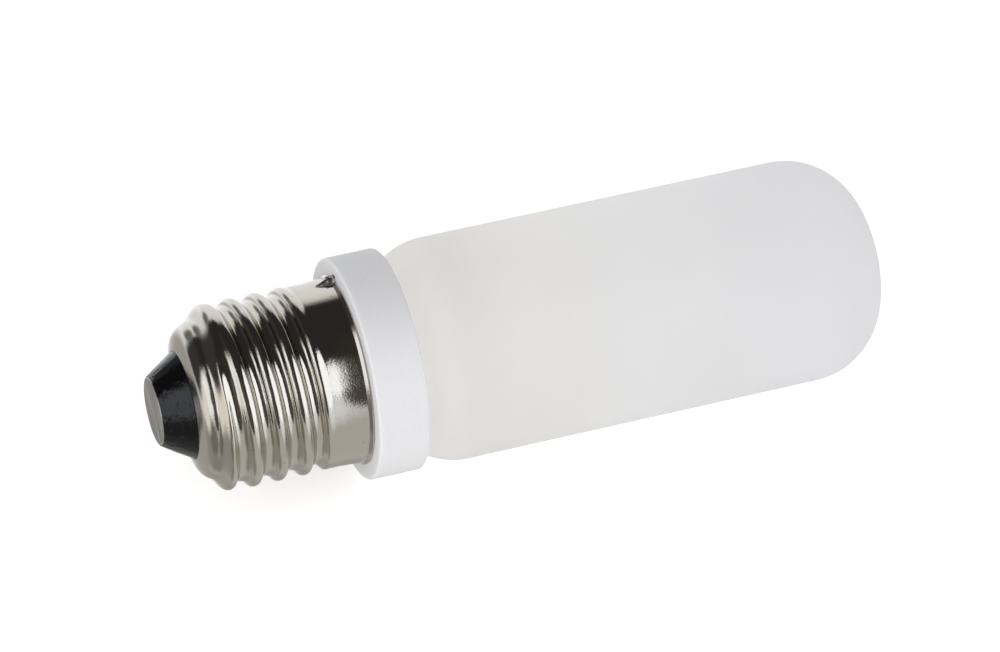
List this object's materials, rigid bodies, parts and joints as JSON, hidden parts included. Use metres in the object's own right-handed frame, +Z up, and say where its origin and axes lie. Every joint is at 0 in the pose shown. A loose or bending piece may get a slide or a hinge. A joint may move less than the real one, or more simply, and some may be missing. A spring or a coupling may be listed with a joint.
{
  "type": "modeling lamp bulb",
  "caption": "Frosted tubular halogen modeling lamp with a domed glass end, white ceramic collar and nickel-plated E27 screw cap with black insulator and flat end contact.",
  "frame": {"origin": "centre of the end contact's flat face", "axes": "+X along the lamp's axis from the end contact to the domed end of the glass, +Z up"},
  "size_m": [0.1061, 0.0316, 0.0317],
  "materials": {
    "frosted_glass": "satin frosted",
    "white_ceramic": "satin, unglazed",
    "nickel_plate": "bright nickel plate on rolled sheet",
    "black_glass": "glossy, moulded",
    "contact_metal": "flat satin",
    "solder": "frozen solder, bright",
    "lead_wire": "drawn wire",
    "cement": "dry, matte"
  },
  "bodies": {
    "root": {"glass_envelope": "frosted_glass", "ceramic_collar": "white_ceramic", "screw_shell": "nickel_plate", "glass_insulator": "black_glass", "centre_contact": "contact_metal", "side_solder": "solder", "centre_lead": "lead_wire", "side_lead": "lead_wire", "neck_cement": "cement", "shell_cement": "cement"}
  },
  "joints": []
}
